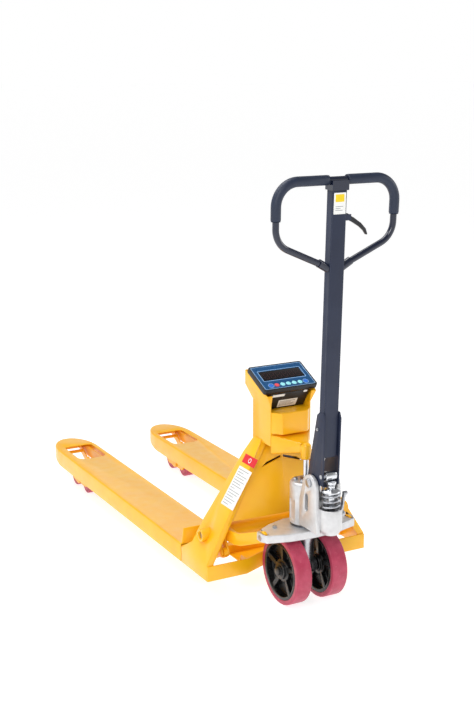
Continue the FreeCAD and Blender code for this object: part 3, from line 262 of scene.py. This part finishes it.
SHADOW_PAINT = plain_plastic("deep_red_led_segments", "2E0B10", "26090C", 0.3)


# ---------------------------------------------------------------- modelling helpers
def deselect_all():
    bpy.ops.object.select_all(action="DESELECT")


def make_active(piece):
    deselect_all()
    piece.select_set(True)
    bpy.context.view_layer.objects.active = piece


def apply_modifier(piece, kind, **settings):
    make_active(piece)
    modifier = piece.modifiers.new(kind.title(), kind)
    for key, value in settings.items():
        setattr(modifier, key, value)
    bpy.ops.object.modifier_apply(modifier=modifier.name)


def round_edges(piece, width_mm, segments=2, angle=32.0):
    apply_modifier(piece, "BEVEL", width=width_mm * MM, segments=segments, limit_method="ANGLE",
                   angle_limit=math.radians(angle), use_clamp_overlap=False, harden_normals=False,
                   miter_outer="MITER_ARC")


def smooth(piece, angle=36.0):
    make_active(piece)
    bpy.ops.object.shade_smooth_by_angle(angle=math.radians(angle))


def settle(piece):
    """Moves the piece's place into its mesh, so that its object sits at the origin."""
    make_active(piece)
    bpy.ops.object.transform_apply(location=True, rotation=True, scale=True)


def finish_piece(piece, name, body, slot, material=None, replaced=()):
    piece.name = name
    piece.data.name = name
    if material is not None or not piece.data.materials:
        piece.data.materials.clear()
        piece.data.materials.append(material or FINISHES[slot])
    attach(piece, body)
    if replaced:
        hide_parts(*replaced)
    return piece


def merged_copy(node):
    """A copy of a CAD part's mesh with its loose triangles merged into clean faces."""
    piece = bpy.data.objects.new(node + "_copy", frame["nodes"][node].data.copy())
    bpy.context.collection.objects.link(piece)
    make_active(piece)
    bpy.ops.object.mode_set(mode="EDIT")
    bpy.ops.mesh.select_all(action="SELECT")
    bpy.ops.mesh.remove_doubles(threshold=0.01 * MM)
    bpy.ops.mesh.dissolve_limited(angle_limit=math.radians(0.6))
    bpy.ops.object.mode_set(mode="OBJECT")
    return piece


def rounded_part(node, width_mm, segments=2, name=None, angle=32.0):
    """Stands for a CAD part with its sharp edges rounded as the real part's are."""
    piece = merged_copy(node)
    piece.data.materials.clear()
    round_edges(piece, width_mm, segments, angle)
    smooth(piece)
    return finish_piece(piece, name or node + "_body", BODY_OF[node], SLOT_OF[node], replaced=(node,))


# ---------------------------------------------------------------- CAD parts that keep their shape
for node_name, node_object in frame["nodes"].items():
    node_object.data.materials.clear()
    node_object.data.materials.append(FINISHES[SLOT_OF[node_name]])

# Radius in millimetres of each part's edges.
EDGE_ROUNDING = {
    "weigh_platform_left": 1.2, "weigh_platform_right": 1.2,
    "side_plate_left": 1.4, "side_plate_right": 1.4,
    "front_panel": 1.0, "bumper_strip": 1.4, "crosshead": 3.0, "column": 1.2, "battery_cover": 1.2,
    "indicator_panel": 0.6, "indicator_housing": 1.8, "keypad_overlay": 0.3, "display_window": 0.3,
    "thrust_plate": 1.5, "pump_body": 2.0, "pump_fittings": 0.8, "rocker": 2.0, "tiller_tube": 1.2,
    "control_lever": 1.5, "release_lever": 1.0, "plunger": 1.2, "press_roller": 1.0, "steer_axle": 1.0,
    "handle_grip": 4.0, "shaft_bosses": 1.0, "rocker_shaft": 1.0, "tiller_pin": 1.0, "kingpin": 1.0,
    "steer_hub_left": 1.8, "steer_hub_right": 1.8, "steer_tread_left": 1.2, "steer_tread_right": 1.2,
}
SHOWN = {node: rounded_part(node, width) for node, width in EDGE_ROUNDING.items()}
# The steer axle's ends are enamelled with the wheel centres.
SHOWN["steer_axle"].data.materials[0] = FINISHES["wheel_black"]
for number in range(1, 8):
    SHOWN[f"key_{number}"] = rounded_part(f"key_{number}", 0.7)
for side in ("left", "right"):
    for end in ("rear", "front"):
        SHOWN[f"load_roller_{side}_{end}"] = rounded_part(f"load_roller_{side}_{end}", 2.0)


# ---------------------------------------------------------------- finding places on the parts
def middle(node):
    low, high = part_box(node)
    return (Vector(low) + Vector(high)) / 2


def strike(node, start, aim):
    """Where a line from start first meets a part, and the way that the surface faces there."""
    bpy.context.view_layer.update()
    target = SHOWN.get(node, frame["nodes"][node])
    hit, place, normal, face = target.ray_cast(Vector(start), Vector(aim).normalized())
    if not hit:
        raise RuntimeError("no surface of " + node + " on that line")
    return place, normal


def lay_on(piece, place, normal, right, lift_mm=0.0):
    """Turns a piece drawn flat so that its face looks along normal, and sets it on that place."""
    z_axis = Vector(normal).normalized()
    x_axis = Vector(right) - Vector(right).dot(z_axis) * z_axis
    x_axis.normalize()
    turn = Matrix((x_axis, z_axis.cross(x_axis), z_axis)).transposed().to_4x4()
    piece.matrix_world = Matrix.Translation(Vector(place) + z_axis * lift_mm * MM) @ turn
    settle(piece)


def sheet_piece(width_mm, height_mm, thick_mm, corner_mm, offset=(0.0, 0.0)):
    """A thin plate with rounded corners, drawn flat at the origin and moved by offset."""
    deselect_all()
    bpy.ops.mesh.primitive_plane_add(size=1.0)
    piece = bpy.context.object
    piece.scale = (width_mm * MM, height_mm * MM, 1.0)
    piece.location = (offset[0] * MM, offset[1] * MM, 0.0)
    settle(piece)
    bpy.ops.object.mode_set(mode="EDIT")
    bpy.ops.mesh.select_all(action="SELECT")
    bpy.ops.mesh.bevel(offset=corner_mm * MM, segments=4, affect="VERTICES")
    bpy.ops.mesh.extrude_region_move(TRANSFORM_OT_translate={"value": (0.0, 0.0, thick_mm * MM)})
    bpy.ops.mesh.select_all(action="SELECT")
    bpy.ops.mesh.normals_make_consistent(inside=False)
    bpy.ops.object.mode_set(mode="OBJECT")
    return piece


def ring_piece(width_mm, height_mm, thick_mm, corner_mm, line_mm, offset=(0.0, 0.0)):
    """The outline of such a plate, line_mm wide."""
    deselect_all()
    bpy.ops.mesh.primitive_plane_add(size=1.0)
    piece = bpy.context.object
    piece.scale = (width_mm * MM, height_mm * MM, 1.0)
    piece.location = (offset[0] * MM, offset[1] * MM, 0.0)
    settle(piece)
    bpy.ops.object.mode_set(mode="EDIT")
    bpy.ops.mesh.select_all(action="SELECT")
    bpy.ops.mesh.bevel(offset=corner_mm * MM, segments=6, affect="VERTICES")
    bpy.ops.mesh.inset(thickness=line_mm * MM)
    bpy.ops.mesh.delete(type="FACE")
    bpy.ops.mesh.select_all(action="SELECT")
    bpy.ops.mesh.extrude_region_move(TRANSFORM_OT_translate={"value": (0.0, 0.0, thick_mm * MM)})
    bpy.ops.mesh.select_all(action="SELECT")
    bpy.ops.mesh.normals_make_consistent(inside=False)
    bpy.ops.object.mode_set(mode="OBJECT")
    return piece


def merged(pieces):
    """Joins pieces into the first."""
    deselect_all()
    for piece in pieces:
        piece.select_set(True)
    bpy.context.view_layer.objects.active = pieces[0]
    bpy.ops.object.join()
    return pieces[0]


# ---------------------------------------------------------------- printed labels
def printed_rows(rows, width_mm, top_mm, pitch_mm, line_mm):
    """Plain bars that stand for a label's print: each row is a share of the width, left aligned."""
    bars = []
    for number, share in enumerate(rows):
        centre = (-(1.0 - share) * width_mm / 2, top_mm - number * pitch_mm)
        bars.append(sheet_piece(share * width_mm, line_mm, 0.22, line_mm * 0.2, centre))
    return merged(bars)


def leaning_plate_labels():
    """A red sticker with a plain disc over a white sheet of instructions, on the left leaning plate."""
    column_low, column_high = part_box("column")
    across = (column_low[1] + column_high[1]) / 2
    labels = (("red_sticker", 52.5, 72.0, 27.0), ("instruction_sheet", 127.5, 73.0, 123.0))
    for name, drop_mm, width, height in labels:
        start = (-0.6, across, column_low[2] - drop_mm * MM)
        place, normal = strike("side_plate_left", start, (1.0, 0.0, 0.0))
        right = (0.0, -1.0, 0.0)
        sheet = sheet_piece(width, height, 0.15, 1.5)
        lay_on(sheet, place, normal, right)
        finish_piece(sheet, name, "frame", "overlay_blue", RED_LABEL if name == "red_sticker" else PAPER)
        if name == "red_sticker":
            disc = ring_piece(15.0, 15.0, 0.22, 7.4, 2.2)
            lay_on(disc, place, normal, right)
            finish_piece(disc, "red_sticker_ring", "frame", "overlay_blue", PAPER)
        else:
            rows = (0.9, 0.55, 0.95, 0.8, 0.95, 0.7, 0.9, 0.4, 0.95, 0.85, 0.6, 0.9, 0.75, 0.5)
            print_bars = printed_rows(rows, 62.0, 53.0, 8.2, 2.2)
            lay_on(print_bars, place, normal, right)
            finish_piece(print_bars, "instruction_sheet_print", "frame", "overlay_blue", INK)


def panel_labels():
    """Three small stickers on the black sheet under the indicator."""
    low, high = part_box("indicator_panel")
    labels = (("panel_sticker", -36.0, 0.84, 40.0, 9.0, 1.0), ("rating_sticker", 2.0, 0.3, 63.0, 27.0, 1.0),
              ("panel_oval", 52.0, 0.92, 13.0, 8.0, 3.9))
    for name, across, up, width, height, corner in labels:
        start = (across * MM, low[1] - 0.1, low[2] + up * (high[2] - low[2]))
        place, normal = strike("indicator_panel", start, (0.0, 1.0, 0.0))
        sheet = sheet_piece(width, height, 0.15, corner)
        lay_on(sheet, place, normal, (1.0, 0.0, 0.0))
        finish_piece(sheet, name, "frame", "overlay_blue", PAPER)
        if name == "rating_sticker":
            bars = printed_rows((0.95, 0.7, 0.9, 0.8), 55.0, 7.5, 5.0, 2.4)
            lay_on(bars, place, normal, (1.0, 0.0, 0.0))
            finish_piece(bars, "rating_sticker_print", "frame", "overlay_blue", INK)


def tiller_label():
    """White sticker with a yellow field on the tube, just under the handle's bar."""
    low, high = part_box("tiller_tube")
    for name, drop_mm, width, height, material, thick in (
            ("tiller_sticker", 44.0, 37.0, 56.0, PAPER, 0.15),
            ("tiller_sticker_field", 30.0, 27.0, 20.0, YELLOW_LABEL, 0.22)):
        place, normal = strike("tiller_tube", (0.0, low[1] - 0.2, high[2] - drop_mm * MM), (0.0, 1.0, 0.0))
        sheet = sheet_piece(width, height, thick, 1.5)
        lay_on(sheet, place, normal, (1.0, 0.0, 0.0))
        finish_piece(sheet, name, "tiller", "overlay_blue", material)
    place, normal = strike("tiller_tube", (0.0, low[1] - 0.2, high[2] - 57.0 * MM), (0.0, 1.0, 0.0))
    bars = printed_rows((0.9, 0.6, 0.85), 26.0, 5.0, 5.0, 1.8)
    lay_on(bars, place, normal, (1.0, 0.0, 0.0))
    finish_piece(bars, "tiller_sticker_print", "tiller", "overlay_blue", INK)


# ---------------------------------------------------------------- indicator face
def face_of(node):
    """Middle of a part on the indicator's slope, and the way that the slope faces."""
    centre = middle(node)
    overlay_centre = middle("keypad_overlay")
    half_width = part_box("keypad_overlay")[1][0] - overlay_centre.x
    beside = (overlay_centre.x + half_width * 0.94, overlay_centre.y, 2.0)
    place, normal = strike("keypad_overlay", beside, (0.0, 0.0, -1.0))
    return centre - (centre - place).dot(normal) * normal, normal


def window_print():
    """Pale outline round the display window and round the whole face, and rings round the end keys."""
    place, normal = face_of("display_window")
    window_low, window_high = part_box("display_window")
    width = (window_high[0] - window_low[0]) / MM
    height = (window_high[1] - window_low[1]) / MM / normal.z
    outline = ring_piece(width + 6.0, height + 6.0, 0.12, 3.0, 1.3)
    lay_on(outline, place, normal, (1.0, 0.0, 0.0))
    finish_piece(outline, "window_outline", "frame", "overlay_blue", PALE_PRINT)

    place, normal = face_of("keypad_overlay")
    face_low, face_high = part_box("keypad_overlay")
    width = (face_high[0] - face_low[0]) / MM
    height = (face_high[1] - face_low[1]) / MM / normal.z
    rim = ring_piece(width - 0.6, height - 0.6, 0.12, 3.4, 1.2)
    lay_on(rim, place, normal, (1.0, 0.0, 0.0))
    finish_piece(rim, "face_rim_line", "frame", "overlay_blue", PALE_PRINT)

    for number in (1, 7):
        place, normal = face_of(f"key_{number}")
        key_low, key_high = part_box(f"key_{number}")
        across = (key_high[0] - key_low[0]) / MM
        ring = ring_piece(across + 3.4, across + 3.4, 0.12, (across + 3.4) / 2 - 0.1, 1.0)
        lay_on(ring, place, normal, (1.0, 0.0, 0.0))
        finish_piece(ring, f"key_ring_{number}", "frame", "overlay_blue", PALE_PRINT)


def display_digits():
    """Six unlit digits of seven bars each, standing behind the smoked window's surface."""
    place, normal = face_of("display_window")
    tall, wide, bar = 25.0, 13.0, 2.4
    spots = [(0.0, tall / 2, False), (0.0, 0.0, False), (0.0, -tall / 2, False)]
    spots += [(side * wide / 2, end * tall / 4, True) for side in (-1, 1) for end in (-1, 1)]
    bars = []
    for digit in range(6):
        across = (digit - 2.5) * 20.5
        for x, y, upright in spots:
            size = (bar, tall / 2 - bar) if upright else (wide - bar, bar)
            bars.append(sheet_piece(*size, 0.1, bar * 0.45, (across + x, y)))
    digits = merged(bars)
    window_place, _ = strike("display_window", (place.x, place.y, 2.0), (0.0, 0.0, -1.0))
    lay_on(digits, window_place, normal, (1.0, 0.0, 0.0))
    finish_piece(digits, "display_digits", "frame", "window_dark", SHADOW_PAINT)


# ---------------------------------------------------------------- plunger spring and small hardware
def plunger_spring():
    """Coil spring round the plunger, open wound, with its ends ground flat enough to close."""
    low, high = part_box("plunger_spring")
    wire = 3.0 * MM
    radius = (high[0] - low[0]) / 2 - wire
    turns = 6
    centre = middle("plunger_spring")
    pitch = (high[2] - low[2] - 2 * wire) / turns
    deselect_all()
    start = (radius, 0.0, 0.0)
    upright = (math.pi / 2, 0.0, 0.0)
    bpy.ops.mesh.primitive_circle_add(vertices=12, radius=wire, location=start, rotation=upright)
    spring = bpy.context.object
    settle(spring)
    apply_modifier(spring, "SCREW", angle=2 * math.pi, screw_offset=pitch, iterations=turns, steps=28,
                   render_steps=28, use_merge_vertices=True, merge_threshold=0.00001)
    make_active(spring)
    bpy.ops.object.mode_set(mode="EDIT")
    bpy.ops.mesh.select_all(action="SELECT")
    bpy.ops.mesh.fill_holes(sides=0)
    bpy.ops.mesh.select_all(action="SELECT")
    bpy.ops.mesh.remove_doubles(threshold=0.00001)
    bpy.ops.mesh.normals_make_consistent(inside=False)
    bpy.ops.object.mode_set(mode="OBJECT")
    spring.location = (centre.x, centre.y, low[2] + wire)
    settle(spring)
    smooth(spring, 60.0)
    finish_piece(spring, "plunger_coil_spring", "plunger", "zinc_steel", replaced=("plunger_spring",))
    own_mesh(spring)


def hex_nut(name, body, place, normal, across_mm, tall_mm, stud_mm):
    """Chamfered hexagon with a short stud end standing out of it."""
    deselect_all()
    bpy.ops.mesh.primitive_cylinder_add(vertices=6, radius=across_mm / 2 * MM / math.cos(math.pi / 6),
                                        depth=tall_mm * MM, location=(0.0, 0.0, tall_mm / 2 * MM))
    nut = bpy.context.object
    settle(nut)
    bpy.ops.object.mode_set(mode="EDIT")
    bpy.ops.mesh.select_all(action="DESELECT")
    bpy.ops.object.mode_set(mode="OBJECT")
    for face in nut.data.polygons:
        face.select = face.normal.z > 0.9
    bpy.ops.object.mode_set(mode="EDIT")
    bpy.ops.mesh.bevel(offset=across_mm * 0.06 * MM, segments=2, affect="EDGES")
    bpy.ops.object.mode_set(mode="OBJECT")
    deselect_all()
    bpy.ops.mesh.primitive_cylinder_add(vertices=24, radius=stud_mm / 2 * MM, depth=(tall_mm + 2.0) * MM,
                                        location=(0.0, 0.0, (tall_mm / 2 + 1.0) * MM))
    stud = bpy.context.object
    settle(stud)
    round_edges(stud, 0.6)
    nut = merged([nut, stud])
    lay_on(nut, place, normal, (0.0, 0.1, 1.0))
    smooth(nut, 30.0)
    return finish_piece(nut, name, body, "zinc_steel")


def hardware():
    """Bolt heads on the tiller's cheek and the thrust plate."""
    cheek_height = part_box("tiller_tube")[0][2] + 0.2
    for side, outward in (("left", -1.0), ("right", 1.0)):
        start = (outward * 0.3, middle("tiller_pin").y - 0.02, cheek_height)
        place, normal = strike("tiller_tube", start, (-outward, 0.0, 0.0))
        hex_nut("cheek_bolt_" + side, "tiller", place, normal, 8.0, 3.5, 4.0)
    plate_middle = middle("thrust_plate")
    for side, across in (("left", -0.094), ("right", 0.094)):
        place, normal = strike("thrust_plate", (across, plate_middle.y + 0.012, 0.5), (0.0, 0.0, -1.0))
        hex_nut("thrust_plate_bolt_" + side, "thrust", place, normal, 13.0, 6.0, 7.0)


def shade_behind_slits():
    """Black sheet close behind the slits at the top of the front panel: painted shade, dark where the gap
    shows only the shaded inside.
    """
    panel_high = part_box("front_panel")[1]
    painted_gap_shade = sheet_piece(150.0, 46.0, 1.5, 3.0)
    place = (0.0, panel_high[1] + 6.0 * MM, panel_high[2] - 55.0 * MM)
    lay_on(painted_gap_shade, place, (0.0, -1.0, 0.14), (1.0, 0.0, 0.0))
    # The black paint on this sheet is painted shade in the gap, not a part of the truck.
    finish_piece(painted_gap_shade, "slit_shade_painted_sheet", "frame", "black_paint")


leaning_plate_labels()
shade_behind_slits()
panel_labels()
tiller_label()
window_print()
display_digits()
plunger_spring()
hardware()


# ---------------------------------------------------------------- floor, light and camera
def studio():
    """White floor in a white room, darker above so that bright metal has something to mirror."""
    deselect_all()
    bpy.ops.mesh.primitive_plane_add(size=120.0, location=(0.0, 0.0, -0.0005))
    floor = bpy.context.object
    floor.name = "studio_floor"
    material, tree, shader, coords = start_material("matt_white_studio_floor")
    shader.inputs["Base Color"].default_value = srgb("BEBEBE")
    shader.inputs["Roughness"].default_value = 0.9
    shader.inputs["Emission Color"].default_value = srgb("FFFFFF")
    shader.inputs["Emission Strength"].default_value = 0.8
    floor.data.materials.append(material)

    world = bpy.data.worlds.new("white_studio")
    bpy.context.scene.world = world
    world.use_nodes = True
    tree = world.node_tree
    direction = add(tree, "ShaderNodeTexCoord").outputs["Generated"]
    height = add(tree, "ShaderNodeSeparateXYZ", {"Vector": direction}).outputs["Z"]
    inputs = {"Value": height, "From Min": 0.05, "From Max": 0.45, "To Min": 1.0, "To Max": 0.28}
    shade = add(tree, "ShaderNodeMapRange", inputs).outputs["Result"]
    background = tree.nodes["Background"]
    background.inputs["Color"].default_value = (1.0, 1.0, 1.0, 1.0)
    tree.links.new(shade, background.inputs["Strength"])

    softbox("key_softbox", (-2.4, -3.2, 3.0), (0.0, -0.2, 0.5), 1.8, 62.0)
    softbox("overhead_softbox", (-0.9, 0.5, 3.4), (0.0, 0.0, 0.2), 2.4, 80.0)
    softbox("side_softbox", (2.8, -1.4, 1.8), (0.0, -0.3, 0.4), 1.2, 16.0)


def softbox(name, place, target, size, power):
    light = bpy.data.lights.new(name, "AREA")
    light.shape = "SQUARE"
    light.size = size
    light.energy = power
    lamp = bpy.data.objects.new(name, light)
    lamp.location = place
    aim = Vector(target) - Vector(place)
    lamp.rotation_euler = aim.to_track_quat("-Z", "Y").to_euler()
    bpy.context.collection.objects.link(lamp)


def camera():
    """Eye level a little above the indicator, from the operator's left."""
    data = bpy.data.cameras.new("studio_camera")
    data.sensor_fit = "VERTICAL"
    data.sensor_height = 36.0
    data.lens = 62.6
    eye = bpy.data.objects.new("studio_camera", data)
    eye.location = (-1.771, -3.471, 1.534)
    yaw, pitch = math.radians(28.54), math.radians(13.6)
    aim = Vector((math.sin(yaw) * math.cos(pitch), math.cos(yaw) * math.cos(pitch), -math.sin(pitch)))
    eye.rotation_euler = aim.to_track_quat("-Z", "Y").to_euler()
    bpy.context.collection.objects.link(eye)
    bpy.context.scene.camera = eye
    bpy.context.scene.view_settings.view_transform = "Standard"


studio()
camera()
